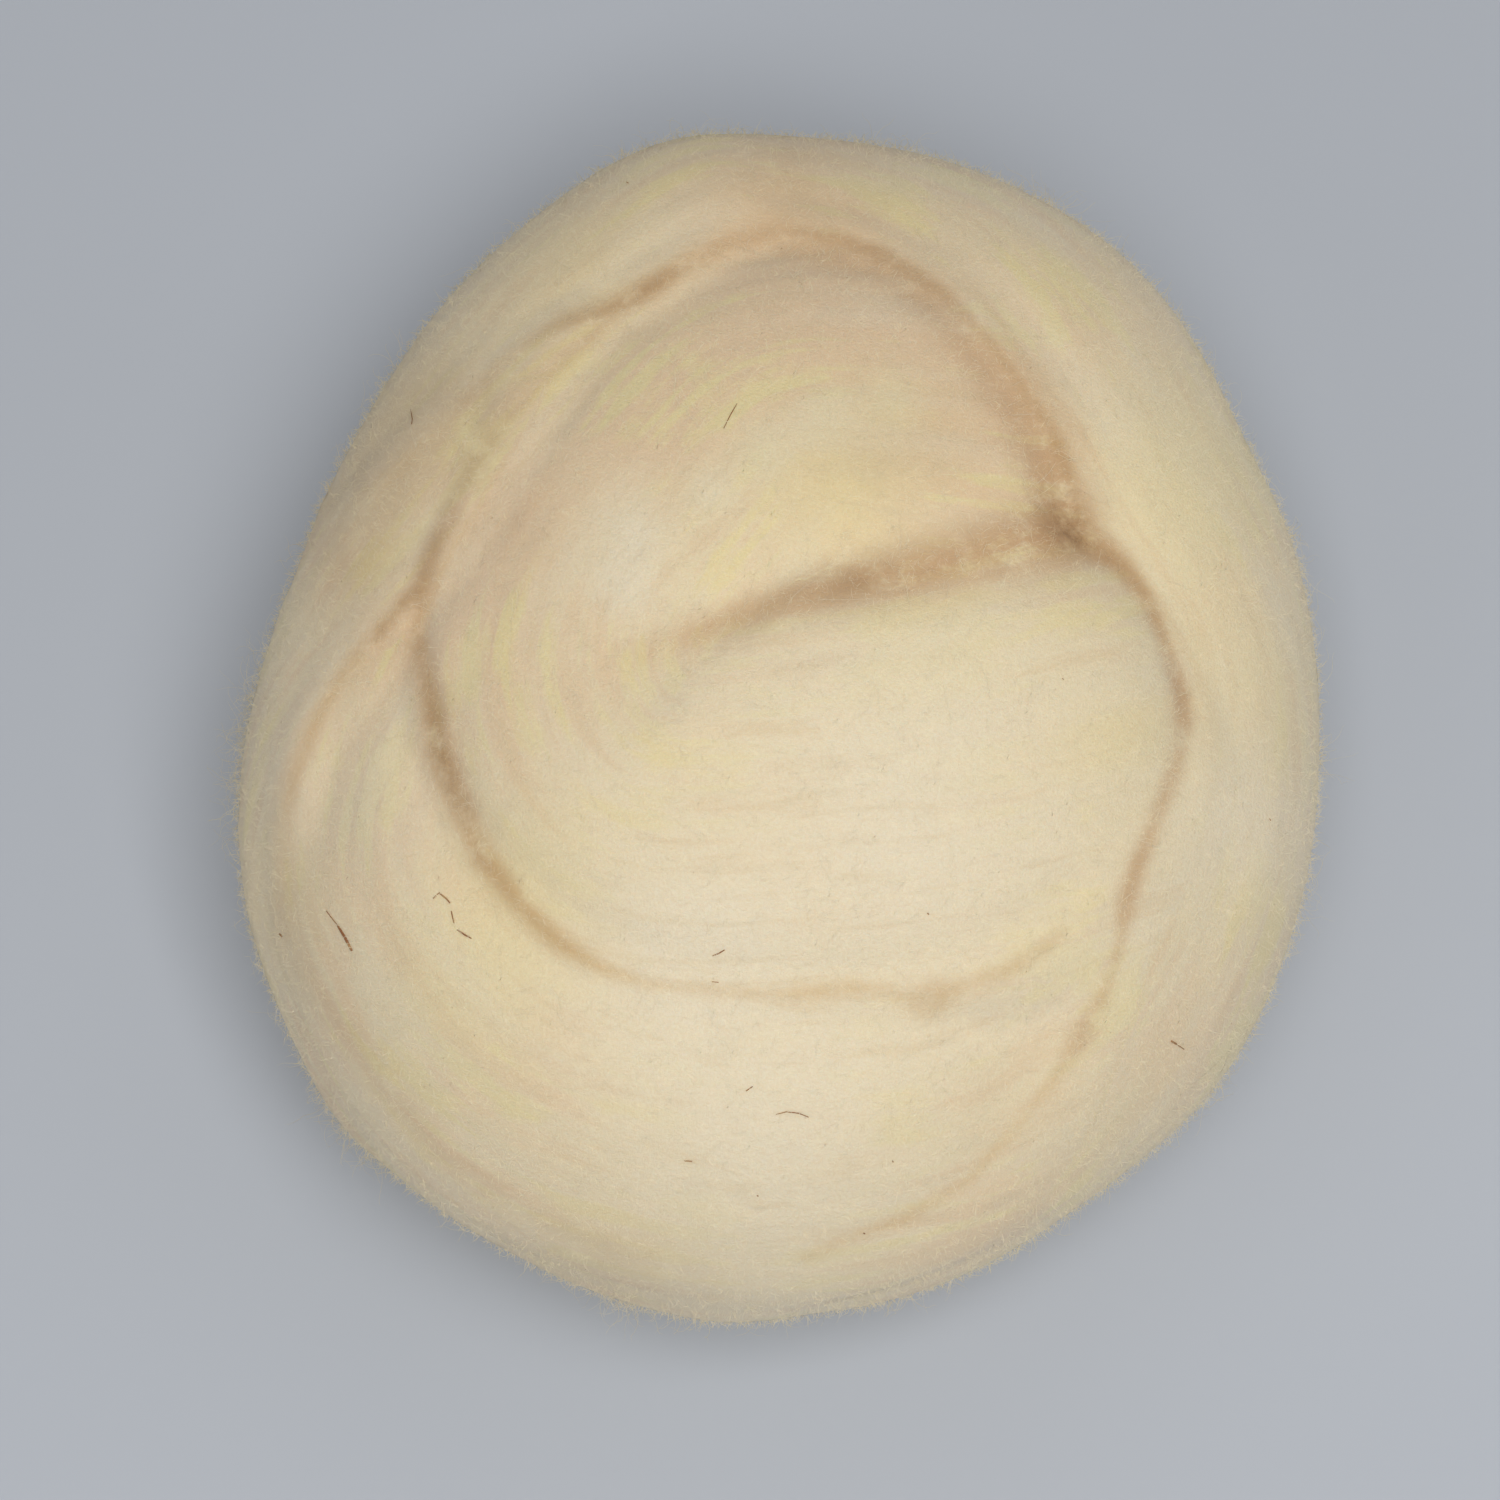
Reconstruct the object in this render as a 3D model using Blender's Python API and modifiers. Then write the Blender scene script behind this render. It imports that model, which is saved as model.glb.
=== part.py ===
"""A ball of wool roving: one thick, soft strand, wound into broad flattened turns.

Metres, +Z up, +Y towards the far side, origin under the middle of the ball on the surface it rests on.
The ball is one solid. Its turns are lofted along their routes over a plump core, and then grown
together into one skin, as the fibres of touching turns are.
"""

import math

import bmesh
import bpy
from mathutils import Matrix, Vector

MM = 0.001

# The wound ball
BALL_WIDTH = 158.5 * MM  # over its short axis
BALL_LENGTH = 183 * MM  # over its long axis
LONG_AXIS_TURN = math.radians(13)  # clockwise from +Y, seen from above
ROUND_HEIGHT = 120 * MM  # as if it were not pressed flat where it rests
PRESSED_FLAT = 8 * MM  # how far its own weight flattens the underside
SIDE_SHIFT = 0.6 * MM  # of its middle, which centres the outline of the turns over the origin
BACK_SHIFT = -2.5 * MM

# The strand
HALF_THICKNESS = 15 * MM  # of the flattened roving, square to the ball
LOOSE_WOOL = 2 * MM  # how far the fluff of the strand fills out its surface beyond that
SQUARENESS = 2.4  # of its cross-section: 2 is an ellipse, more is fuller at the edges
SECTION_SIDES = 32
ROUTE_STEP = 5 * MM  # between two cross-sections of the strand
END_ROUNDING = 16 * MM  # over this length an end of the strand closes
END_SHARE = 0.2  # of the strand's size that is left at its very end

# The skin
SKIN_CELL = 2.2 * MM
SKIN_SMOOTHING = 4
SKIN_KEPT = 0.24  # share of the triangles that is kept

# The top loops are laid out as they are seen from here.
VIEW_ELEVATION = math.radians(70)  # over the horizontal, from the near side
VIEW_DISTANCE = 800 * MM

WOOL_COLOUR = (0.83, 0.76, 0.62, 1)

# The top loops, in millimetres from the ball's middle as they are seen: right, up, half the strand's
# width, and how far the strand lies proud of the ball (less than 0 is buried).
HAIRPIN_LOOP = (
    # right, up, half_width, lift
    (58, 51, 21, -19),
    (50, 52, 22, -9),
    (40, 52.5, 24, -2),
    (26.5, 53, 27, 0),
    (15, 55, 31, 0),
    (3, 56, 34, 0),
    (-9, 54, 34, 0),
    (-18.5, 48, 32, 0),
    (-27, 41, 29, 0),
    (-34, 33.5, 26, 0),
    (-38.5, 25.5, 24, 0),
    (-40, 15, 21, 0),
    (-38, 4, 19, 0),
    (-34.5, -2, 21, 0),
    (-29.5, -7, 23, 0),
    (-23, -10, 25, 0),
    (-14, -10.5, 28, 0),
    (0, -9.5, 31, 0),
    (13, -8, 32, 0),
    (27, -6, 33, 0),
    (40, -2.5, 33, 0),
    (51.5, 1, 32, -1),
    (60, 3.5, 30, -3),
    (68, 5, 26, -9),
    (75, 6, 22, -19),
)
CRESCENT_LOOP = (
    # right, up, half_width, lift
    (-52, 33, 8, -14),
    (-56, 25, 11, -8),
    (-61, 15, 15, -5),
    (-66, 5, 17, -4),
    (-69, -5, 18, -3),
    (-68.5, -20, 20, -1),
    (-63, -36, 22, 0),
    (-49, -52, 23, 0),
    (-32.5, -61.5, 23, 0),
    (-12, -67, 23, 0),
    (10, -67, 23, 0),
    (31.5, -63, 22, -1),
    (48, -54, 21, -3),
    (59, -41.5, 19, -7),
    (64, -29, 17, -17),
)
# The outer turns, one strand that winds down round the ball: degrees round from the short axis,
# degrees up from the waist, half the strand's width and its lift in millimetres.
OUTER_TURNS = (
    # round, up, half_width, lift
    (128, 47, 5, -10),
    (135, 45, 6, -6),
    (142, 43, 8, -4),
    (154, 42, 11, -3),
    (165, 39, 14, -2),
    (173, 34, 17, -2),
    (178, 27, 19, -2.5),
    (183, 18, 21, -2.5),
    (188, 7, 22, -1),
    (197, -7, 23, 1.5),
    (210, -14, 24, 2.5),
    (234, -18, 24, 1),
    (259, -19, 24, -2.5),
    (278, -19, 24, -2.5),
    (300, -11, 24, -1.5),
    (317, -6, 24, -1),
    (325, -1, 24, 0),
    (335, 3, 24, 1),
    (355, 9, 24, 2),
    (365, 10, 24, 1),
    (375, 15, 24, 0.5),
    (387, 24, 24, 1),
    (397, 31, 24, 1.5),
    (408, 31, 24, 2),
    (423, 28, 24, 2.5),
    (441, 22, 24, 2),
    (466, 16, 24, 3),
    (477, 17, 24, 5),
    (488, 18, 24, 3.5),
    (507, 13, 24, 0.5),
    (516, 9, 24, -1),
    (524, 2, 23, -3),
    (537, -9, 22, -7),
    (550, -22, 22, -6),
    (565, -37, 23, -3),
    (600, -56, 24, 0),
    (640, -61, 24, 0),
    (675, -47, 24, 0),
    (710, -30, 24, 0),
    (745, -17, 24, 0),
    (780, -13, 24, 0),
    (820, -21, 24, 1),
    (865, -34, 24, -1),
    (895, -50, 24, -2),
    (930, -66, 24, -2),
    (990, -77, 24, -3),
    (1055, -72, 24, -1),
    (1110, -58, 24, 0),
    (1165, -57, 24, 0),
    (1240, -72, 25, -1),
    (1246, -83, 25, -2),
    (1424, -84, 24, -3),
    (1424, -74, 22, -8),
)

OUTER_RADII = Vector((BALL_WIDTH, BALL_LENGTH, ROUND_HEIGHT)) / 2
CORE_RADII = OUTER_RADII - Vector((HALF_THICKNESS,) * 3)
MIDDLE = Vector((SIDE_SHIFT, BACK_SHIFT, ROUND_HEIGHT / 2 - PRESSED_FLAT))
# From the ball's own axes, its middle at (0, 0, 0), to where it rests
TO_REST = Matrix.Translation(MIDDLE) @ Matrix.Rotation(-LONG_AXIS_TURN, 4, "Z")


def times(a, b):
    """The vector a with each coordinate times b's."""
    return Vector(x * y for x, y in zip(a, b))


def over(a, b):
    """The vector a with each coordinate divided by b's."""
    return Vector(x / y for x, y in zip(a, b))


def onto_core(point):
    """The point of the core in a point's direction."""
    return times(over(point, CORE_RADII).normalized(), CORE_RADII)


def outward(point, radii):
    """The direction square to an ellipsoid at a point on it."""
    return over(over(point, radii), radii).normalized()


def point_on_turn(round_degrees, up_degrees):
    """Where an outer turn crosses, on the core."""
    around = math.radians(round_degrees)
    up = math.radians(up_degrees)
    direction = Vector((math.cos(up) * math.cos(around), math.cos(up) * math.sin(around), math.sin(up)))
    return times(direction, CORE_RADII)


def point_seen_at(right, up):
    """The point of the core under a spot on the ball, as the spot is seen from the view."""
    to_ball_axes = TO_REST.to_3x3().inverted()
    across = to_ball_axes @ Vector((1, 0, 0))
    upward = to_ball_axes @ Vector((0, math.sin(VIEW_ELEVATION), math.cos(VIEW_ELEVATION)))
    eye = to_ball_axes @ Vector((0, -math.cos(VIEW_ELEVATION), math.sin(VIEW_ELEVATION))) * VIEW_DISTANCE
    start = over(eye, OUTER_RADII)
    step = over((across * right + upward * up) * MM - eye, OUTER_RADII)
    half_b = start.dot(step) / step.length_squared
    rest = (start.length_squared - 1) / step.length_squared
    reach = -half_b - math.sqrt(max(half_b * half_b - rest, 0))
    spot = times(start + step * reach, OUTER_RADII)
    return onto_core(spot - outward(spot, OUTER_RADII) * HALF_THICKNESS)


def through(values, at):
    """A smooth value between the stations of a list, at a station number with a fraction."""
    last = len(values) - 1
    i = min(int(at), last - 1)
    t = at - i
    before, a, b, after = (values[max(0, min(last, k))] for k in (i - 1, i, i + 1, i + 2))
    return 0.5 * (
        2 * a
        + (b - before) * t
        + (2 * before - 5 * a + 4 * b - after) * t**2
        + (3 * a - before - 3 * b + after) * t**3
    )


def route(points, rows):
    """The strand's cross-sections, ROUTE_STEP apart: foot on the core, half width, half thickness, lift."""
    half_widths = [row[2] * MM for row in rows]
    lifts = [row[3] * MM for row in rows]
    found = []
    for i in range(len(points) - 1):
        steps = max(1, round((points[i + 1] - points[i]).length / ROUTE_STEP))
        found += [i + k / steps for k in range(steps)]
    found.append(len(points) - 1)
    feet = [onto_core(through(points, at)) for at in found]
    along = [0]
    for a, b in zip(feet, feet[1:]):
        along.append(along[-1] + (b - a).length)
    sections = []
    for at, foot, gone in zip(found, feet, along):
        to_end = min(1, gone / END_ROUNDING, (along[-1] - gone) / END_ROUNDING)
        closing = max(math.sqrt(1 - (1 - to_end) ** 2), END_SHARE)
        half_width = through(half_widths, at) * closing
        half_thickness = (HALF_THICKNESS + LOOSE_WOOL) * closing
        sections.append((foot, half_width, half_thickness, through(lifts, at)))
    return sections


def squared(x):
    """A coordinate of a circle moved to the squarer outline of the strand's cross-section."""
    return math.copysign(abs(x) ** (2 / SQUARENESS), x)


def loft_strand(bm, sections):
    """Lofts the flattened strand through its cross-sections, each of them draped over the core."""
    rings = []
    last = len(sections) - 1
    for i, (foot, half_width, half_thickness, lift) in enumerate(sections):
        along = sections[min(i + 1, last)][0] - sections[max(i - 1, 0)][0]
        across = outward(foot, CORE_RADII).cross(along).normalized()
        ring = bmesh.ops.create_circle(bm, cap_ends=i in (0, last), segments=SECTION_SIDES, radius=1)
        for vert in ring["verts"]:
            spot = onto_core(foot + across * half_width * squared(vert.co.x))
            vert.co = spot + outward(spot, CORE_RADII) * (lift + half_thickness * squared(vert.co.y))
        rings.append({edge for vert in ring["verts"] for edge in vert.link_edges})
    for a, b in zip(rings, rings[1:]):
        bmesh.ops.bridge_loops(bm, edges=list(a | b))
    bmesh.ops.recalc_face_normals(bm, faces=bm.faces)


def wound_mesh():
    """The core and every turn round it, still as separate closed shapes in one mesh."""
    mesh = bpy.data.meshes.new("wound_turns")
    whole = bmesh.new()
    bmesh.ops.create_uvsphere(
        whole, u_segments=48, v_segments=24, radius=1, matrix=Matrix.Diagonal((*CORE_RADII, 1))
    )
    strands = [
        ([point_seen_at(row[0], row[1]) for row in HAIRPIN_LOOP], HAIRPIN_LOOP),
        ([point_seen_at(row[0], row[1]) for row in CRESCENT_LOOP], CRESCENT_LOOP),
        ([point_on_turn(row[0], row[1]) for row in OUTER_TURNS], OUTER_TURNS),
    ]
    for points, rows in strands:
        strand = bmesh.new()
        loft_strand(strand, route(points, rows))
        strand.to_mesh(mesh)
        strand.free()
        whole.from_mesh(mesh)
    whole.transform(TO_REST)
    whole.to_mesh(mesh)
    whole.free()
    return mesh


def wool_material():
    wool = bpy.data.materials.new("wool")
    wool.use_nodes = True
    principled = wool.node_tree.nodes["Principled BSDF"]
    principled.inputs["Base Color"].default_value = WOOL_COLOUR
    principled.inputs["Roughness"].default_value = 0.95
    principled.inputs["Metallic"].default_value = 0
    return wool


def rest_cutter(collection):
    """What the surface that the ball rests on takes off its underside."""
    mesh = bpy.data.meshes.new("rest_cutter")
    bm = bmesh.new()
    depth = 40 * MM
    size = Matrix.Diagonal((2 * BALL_WIDTH, 2 * BALL_LENGTH, depth, 1))
    bmesh.ops.create_cube(bm, size=1, matrix=Matrix.Translation((0, 0, -depth / 2)) @ size)
    bm.to_mesh(mesh)
    bm.free()
    cutter = bpy.data.objects.new("rest_cutter", mesh)
    cutter.hide_render = True
    cutter.display_type = "WIRE"
    collection.objects.link(cutter)
    return cutter


def grow_together(ball, cutter):
    """One skin over all the turns, softened, and pressed flat where the ball rests."""
    skin = ball.modifiers.new("skin", "REMESH")
    skin.mode = "VOXEL"
    skin.voxel_size = SKIN_CELL
    soften = ball.modifiers.new("soften", "SMOOTH")
    soften.factor = 0.5
    soften.iterations = SKIN_SMOOTHING
    thin = ball.modifiers.new("thin", "DECIMATE")
    thin.ratio = SKIN_KEPT
    flat = ball.modifiers.new("flat_spot", "BOOLEAN")
    flat.operation = "DIFFERENCE"
    flat.solver = "EXACT"
    flat.object = cutter


def build():
    for old in list(bpy.data.objects):
        bpy.data.objects.remove(old)
    parts = bpy.data.collections.new("wool_roving_ball")
    cutters = bpy.data.collections.new("cutters")
    bpy.context.scene.collection.children.link(parts)
    bpy.context.scene.collection.children.link(cutters)
    ball = bpy.data.objects.new("roving_ball", wound_mesh())
    ball.data.materials.append(wool_material())
    parts.objects.link(ball)
    grow_together(ball, rest_cutter(cutters))


build()
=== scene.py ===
# A ball of wool roving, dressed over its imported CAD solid.
import math

import bmesh
import bpy
import numpy as np
from mathutils import Matrix, Vector


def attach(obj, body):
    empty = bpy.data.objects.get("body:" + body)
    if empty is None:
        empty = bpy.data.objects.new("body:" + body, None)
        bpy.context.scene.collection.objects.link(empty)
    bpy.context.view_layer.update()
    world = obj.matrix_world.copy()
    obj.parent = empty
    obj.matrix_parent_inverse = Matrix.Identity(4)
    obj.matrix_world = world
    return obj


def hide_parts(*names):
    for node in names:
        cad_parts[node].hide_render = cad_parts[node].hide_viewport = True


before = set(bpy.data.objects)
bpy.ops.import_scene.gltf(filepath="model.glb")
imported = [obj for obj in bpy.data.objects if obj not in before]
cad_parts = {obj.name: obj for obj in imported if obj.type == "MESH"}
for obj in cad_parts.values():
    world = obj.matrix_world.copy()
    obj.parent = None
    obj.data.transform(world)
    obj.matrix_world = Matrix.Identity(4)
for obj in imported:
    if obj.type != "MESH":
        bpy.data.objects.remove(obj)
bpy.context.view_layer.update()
mm = 0.001

# The wound form, in millimetres: the solid's own values
ball = {
    "width": 158.5,
    "length": 183,
    "height": 120,  # before it is pressed flat
    "pressedFlat": 8,
    "longAxisTurn": 13,  # degrees, clockwise from +Y
    "middle": (0.6, -2.5),
    "halfThickness": 15,  # of the strand
    "viewElevation": 70,
    "viewDistance": 800,
}

# right, up, half width, lift: the top turns as the view sees them
hairpinLoop = [
    (58, 51, 21, -19), (50, 52, 22, -9), (40, 52.5, 24, -2), (26.5, 54, 29, -0.7), (15, 56, 34, -1.7),
    (3, 57.5, 37, -2), (-9, 53, 35, -2), (-17, 43.5, 28.5, -1.7), (-24, 36, 26.5, -1.5),
    (-29, 30.5, 28.5, -2.5), (-33.5, 23.5, 28.5, -3), (-36.2, 15, 25.5, -3), (-35.6, 6, 24, -2.5),
    (-33, -0.5, 23.5, -1.5), (-28.8, -6, 23.2, -0.5), (-23, -10, 25, 0), (-14, -10.5, 28, 0),
    (0, -9.5, 31, 0), (13, -8, 32, 0), (27, -6, 33, 0), (40, -2.5, 33, 0), (51.5, 1, 32, 0),
    (60, 3.5, 29, -1.5), (67.5, 5.5, 23, -6), (74, 7, 18, -16),
]
crescentLoop = [
    (-54, 31, 8, -15), (-57, 24, 11, -9), (-61, 15, 15, -6), (-65, 5, 17, -4.5), (-68.5, -5, 18, -3.5),
    (-68.5, -20, 20, -1), (-63, -36, 22, 0), (-49, -52, 23, 0), (-32.5, -61.5, 23, 0), (-12, -67, 23, 0),
    (10, -67, 23, 0), (31.5, -63, 22, -1), (48, -54, 20, -2.5), (59, -41.5, 19, -4), (66, -29, 17, -8),
    (70, -17, 15, -16),
]
# degrees round, degrees up, half width, lift: the outer turns, as they wind down round the ball
outerTurns = [
    (128, 47, 5, -10), (135, 45, 6, -6), (143, 43.5, 8, -4), (154, 43, 12, -3), (165, 42.5, 14.5, -2.5),
    (173, 38, 16, -2.5), (179, 32, 18, -3), (185, 24, 20, -3), (190.5, 14, 22.5, -1),
    (199, -2, 24.5, 1.5), (210, -13, 24.5, 2.5), (234, -18, 24, 1), (259, -19, 24, -2.5),
    (278, -19, 24, -2.5), (300, -11, 24, -1.5), (317, -6, 24, -1), (325, -1, 24, 0), (335, 3, 24, 1),
    (355, 9, 24, 2), (365, 10, 24, 1), (375, 15, 24, 0.5), (387, 24, 24, 1), (397, 31, 24, 1.5),
    (408, 31, 24, 2), (423, 28, 24, 2.5), (441, 22, 24, 2), (466, 16, 24, 3), (477, 17, 24, 5),
    (488, 20, 26, 3.5), (507, 19, 32, 0.5), (516, 17, 34, -1), (524, 12, 34, -2), (537, -2, 30, -6),
    (550, -22, 22, -6), (565, -37, 23, -3), (600, -56, 24, 0), (640, -61, 24, 0), (675, -47, 24, 0),
    (710, -30, 24, 0), (745, -17, 24, 0), (780, -13, 24, 0), (820, -21, 24, 1), (865, -34, 24, -1),
    (895, -50, 24, -2), (930, -66, 24, -2), (990, -77, 24, -3), (1055, -72, 24, -1), (1110, -58, 24, 0),
    (1165, -57, 24, 0), (1240, -72, 25, -1), (1246, -83, 25, -2), (1424, -84, 24, -3),
    (1424, -74, 22, -8),
]

outerRadii = np.array((ball["width"], ball["length"], ball["height"])) / 2
coreRadii = outerRadii - ball["halfThickness"]
middle = Vector((*ball["middle"], ball["height"] / 2 - ball["pressedFlat"]))
toRest = Matrix.Translation(middle) @ Matrix.Rotation(math.radians(-ball["longAxisTurn"]), 4, "Z")
turn = np.array(toRest.to_3x3())


def unit(v):
    return v / np.linalg.norm(v, axis=-1, keepdims=True)


def ontoCore(p):
    return unit(p / coreRadii) * coreRadii


def squareOut(p, radii):
    return unit(p / radii / radii)


def atRest(p):
    return p @ turn.T + np.array(middle)


def turnPoint(around, up):
    a, b = math.radians(around), math.radians(up)
    return np.array((math.cos(b) * math.cos(a), math.cos(b) * math.sin(a), math.sin(b))) * coreRadii


viewTilt = math.radians(ball["viewElevation"])
viewRight = np.array((1, 0, 0))
viewUp = np.array((0, math.sin(viewTilt), math.cos(viewTilt)))
viewBack = np.array((0, -math.cos(viewTilt), math.sin(viewTilt)))


def seenPoint(right, up):
    # the core's point under a spot of the ball, from where the view sees the spot
    eye = viewBack @ turn * ball["viewDistance"]
    start = eye / outerRadii
    step = ((viewRight * right + viewUp * up) @ turn - eye) / outerRadii
    halfB = start @ step / (step @ step)
    rest = (start @ start - 1) / (step @ step)
    spot = (start + step * (-halfB - math.sqrt(max(halfB * halfB - rest, 0)))) * outerRadii
    return ontoCore(spot - squareOut(spot, outerRadii) * ball["halfThickness"])


def through(values, at):
    # Catmull-Rom through the rows of values, at fractional row numbers
    values = np.asarray(values, float)
    last = len(values) - 1
    i = np.clip(at.astype(int), 0, last - 1)
    t = (at - i).reshape((-1,) + (1,) * (values.ndim - 1))
    before, a, b, after = (values[np.clip(i + k, 0, last)] for k in (-1, 0, 1, 2))
    return 0.5 * (2 * a + (b - before) * t + (2 * before - 5 * a + 4 * b - after) * t**2
                  + (3 * a - before - 3 * b + after) * t**3)


winding = {
    "samples": 40,  # a row, to measure how long a route is
    "step": 1.5,  # between a route's stations
    "stretch": 170,  # a long route is felt in stretches, so that a turn is never mistaken for the next
    "overlap": 4,  # stations that neighbouring stretches share
    "easing": 8,  # stations either side over which a route's kinks are eased
    "hairpinTip": 11,  # the row at the tip of the hairpin's bend, where it is cut in two
    "turnApart": 60,  # along a route, further than this is another turn
    "facing": 0.3,  # a strand is felt only from its own side of the core
    "leastFacing": 0.1,
    "nothing": -9,  # the height where no strand is felt
    "lowest": -5,  # the least height that a next strand counts for
}


def eased(values):
    reach = winding["easing"]
    kernel = np.hanning(2 * reach + 3)[1:-1]
    values = values.reshape(len(values), -1)
    before = 2 * values[:1] - values[reach:0:-1]
    after = 2 * values[-1:] - values[-2:-reach - 2:-1]
    held = np.concatenate((before, values, after))
    return np.stack([np.convolve(column, kernel / kernel.sum(), "valid") for column in held.T], 1)


def layRoute(points, rows, cuts):
    # a strand's route as stretches of close stations on the core
    points = np.array(points)
    rows = np.array(rows, float)
    at = np.linspace(0, len(rows) - 1, winding["samples"] * len(rows))
    rough = ontoCore(through(points, at))
    gone = np.concatenate(([0], np.cumsum(np.linalg.norm(np.diff(rough, axis=0), axis=1))))
    count = int(gone[-1] / winding["step"]) + 1
    at = np.interp(np.linspace(0, gone[-1], count), gone, at)
    feet = ontoCore(eased(through(points, at)))
    along = unit(np.gradient(feet, axis=0))
    across = unit(np.cross(squareOut(feet, coreRadii), along))
    route = {"feet": feet, "along": along, "across": across, "out": squareOut(feet, coreRadii),
             "halfWidth": eased(through(rows[:, 2], at))[:, 0], "lift": eased(through(rows[:, 3], at))[:, 0],
             "gone": np.linspace(0, gone[-1], count)}
    if cuts:
        edges = np.interp(cuts, at, np.arange(count)).round().astype(int)
    else:
        stretches = max(1, round(gone[-1] / winding["stretch"]))
        edges = np.linspace(0, count - 1, stretches + 1).astype(int)[1:-1]
    edges = [0, *edges, count - 1]
    shared = winding["overlap"]
    return [{k: v[max(low - shared, 0):high + 1 + shared] for k, v in route.items()}
            for low, high in zip(edges, edges[1:])]


# each route's stretches
routes = [
    layRoute([seenPoint(*row[:2]) for row in hairpinLoop], hairpinLoop, [winding["hairpinTip"]]),
    layRoute([seenPoint(*row[:2]) for row in crescentLoop], crescentLoop, []),
    layRoute([turnPoint(*row[:2]) for row in outerTurns], outerTurns, []),
]


skin = {
    "cuts": 124,  # of each side of the cube that becomes the skin
    "squareness": 2.8,  # of a strand's cross-section
    "smoothing": 3,
    "smoothFactor": 0.5,
    "pivot": (-16, 14),  # the hairpin's eye, right and up, is filled
    "pivotReach": 9,
    "pivotHeight": 12.5,
    "pivotFall": 6,
    "felting": 8,  # how far the strands have grown into each other
    "groove": 1,  # extra depth of a crease
    "grooveReach": 1.3,
    "closingStep": 2,  # between the spots of a closed crease
    "closingCore": 1.3,  # more than 1 keeps a closing full around its line
    "closingFade": 12,  # rounds of smoothing that take a groove away
    "streakHeight": 0.035,
    "streakWidths": (4, 14),
    "streakLengths": (25, 90),
    "streakCount": 30,
    "streakSeed": 3,
    "strandsApart": 40,  # so that each strand has streaks of its own
    "floorGap": 0.15,
}


def profile(x, halfWidth):
    share = np.clip(np.abs(x) / halfWidth, 0, 1)
    return ball["halfThickness"] * (1 - share ** skin["squareness"]) ** (1 / skin["squareness"])


def feelStretch(feet, part):
    # a stretch's height over the core at each foot, and where on the strand that is
    f = part["feet"]
    near = ((f * f).sum(1)[None] - 2 * feet @ f.T).argmin(1)
    foot, out = f[near], part["out"][near]
    facing = (feet * out).sum(1) / (foot * out).sum(1)
    # in the plane that touches the core at the foot
    offset = feet / np.maximum(facing, winding["leastFacing"])[:, None] - foot
    t = (offset * part["along"][near]).sum(1)
    x = (offset * part["across"][near]).sum(1)
    past = np.maximum(np.abs(t) - winding["step"], 0)
    height = part["lift"][near] + profile(np.hypot(x, past), part["halfWidth"][near])
    beside = (facing > winding["facing"]) & (np.hypot(x, past) < part["halfWidth"][near])
    return np.where(beside, height, winding["nothing"]), part["gone"][near] + t, x, part["along"][near]


def feel(feet):
    # height over the core at each foot, how far that is above the next strand, and the place on its strand
    felt = [(number, *feelStretch(feet, part)) for number, parts in enumerate(routes) for part in parts]
    route = np.array([row[0] for row in felt])
    height, gone, x = (np.array([row[k] for row in felt]) for k in (1, 2, 3))
    along = np.array([row[4] for row in felt])
    top = height.argmax(0)
    each = np.arange(len(feet))
    best = height[top, each]
    other = (route[:, None] != route[top][None]) | (np.abs(gone - gone[top, each]) > winding["turnApart"])
    second = np.where(other, height, winding["nothing"]).max(0)
    where = np.stack((gone[top, each], x[top, each], route[top] + 1.0), 1)
    return np.maximum(best, 0), best - np.maximum(second, winding["lowest"]), where, along[top, each]


def alongLine(line, step):
    # the rows of a line, filled in between so that they stand a step apart
    line = np.array(line, float)
    gone = np.concatenate(([0], np.cumsum(np.linalg.norm(np.diff(line[:, :2], axis=0), axis=1))))
    return np.stack([np.interp(np.arange(0, gone[-1], step), gone, column) for column in line.T], 1)


def closeCreases(feet, height, clear):
    # fill where two strands are about level, never above the strand's own top; and how far to smooth later
    seen = seenAt(atRest(feet + squareOut(feet, coreRadii) * height[:, None]))
    upper = feet @ turn.T @ viewBack > 0
    fill = np.full(len(feet), float(skin["felting"]))
    rounds = np.zeros(len(feet))
    for line in closings:
        for right, up, reach, most, times in alongLine(line, skin["closingStep"]):
            away = np.hypot(seen[:, 0] - right, seen[:, 1] - up)
            near = np.clip(skin["closingCore"] - away / reach, 0, 1) * upper
            fill = np.maximum(fill, most * near)
            rounds = np.maximum(rounds, times * near)
    level = np.clip(1 - clear / fill, 0, 1)
    room = np.maximum(ball["halfThickness"] - height, 0)
    return height + np.minimum(fill * level**2 / 4, room), rounds


def streaks(along, across):
    # long ridges that run with the strand: a sum of waves, most of them across it
    rng = np.random.default_rng(skin["streakSeed"])
    total = np.zeros(len(along))
    for _ in range(skin["streakCount"]):
        wide = rng.uniform(*skin["streakWidths"])
        long = rng.uniform(*skin["streakLengths"]) * rng.choice((-1, 1))
        total += np.sin(2 * np.pi * (across / wide + along / long) + rng.uniform(0, 2 * np.pi))
    return total / math.sqrt(skin["streakCount"] / 2)


def seenAt(places):
    # right and up of each place as the view sees it, in millimetres at the ball's middle
    p = places - np.array(middle)
    nearer = ball["viewDistance"] / (ball["viewDistance"] - p @ viewBack)
    return np.stack((p @ viewRight * nearer, p @ viewUp * nearer), 1)


def nearTo(seen, right, up, reach):
    # 1 at a seen spot, and less and less away from it
    return np.exp(-((seen[:, 0] - right) ** 2 + (seen[:, 1] - up) ** 2) / reach**2)


# right, up, reach, depth: hollows that the winding alone doesn't make
hollows = [
    (43, 31, 5, 0.6), (-51.5, 5, 4, 0.4), (19, 73, 4, 0.3), (-24, 65, 3.5, 0.6), (-46, 51, 3, 0.5),
]

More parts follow.
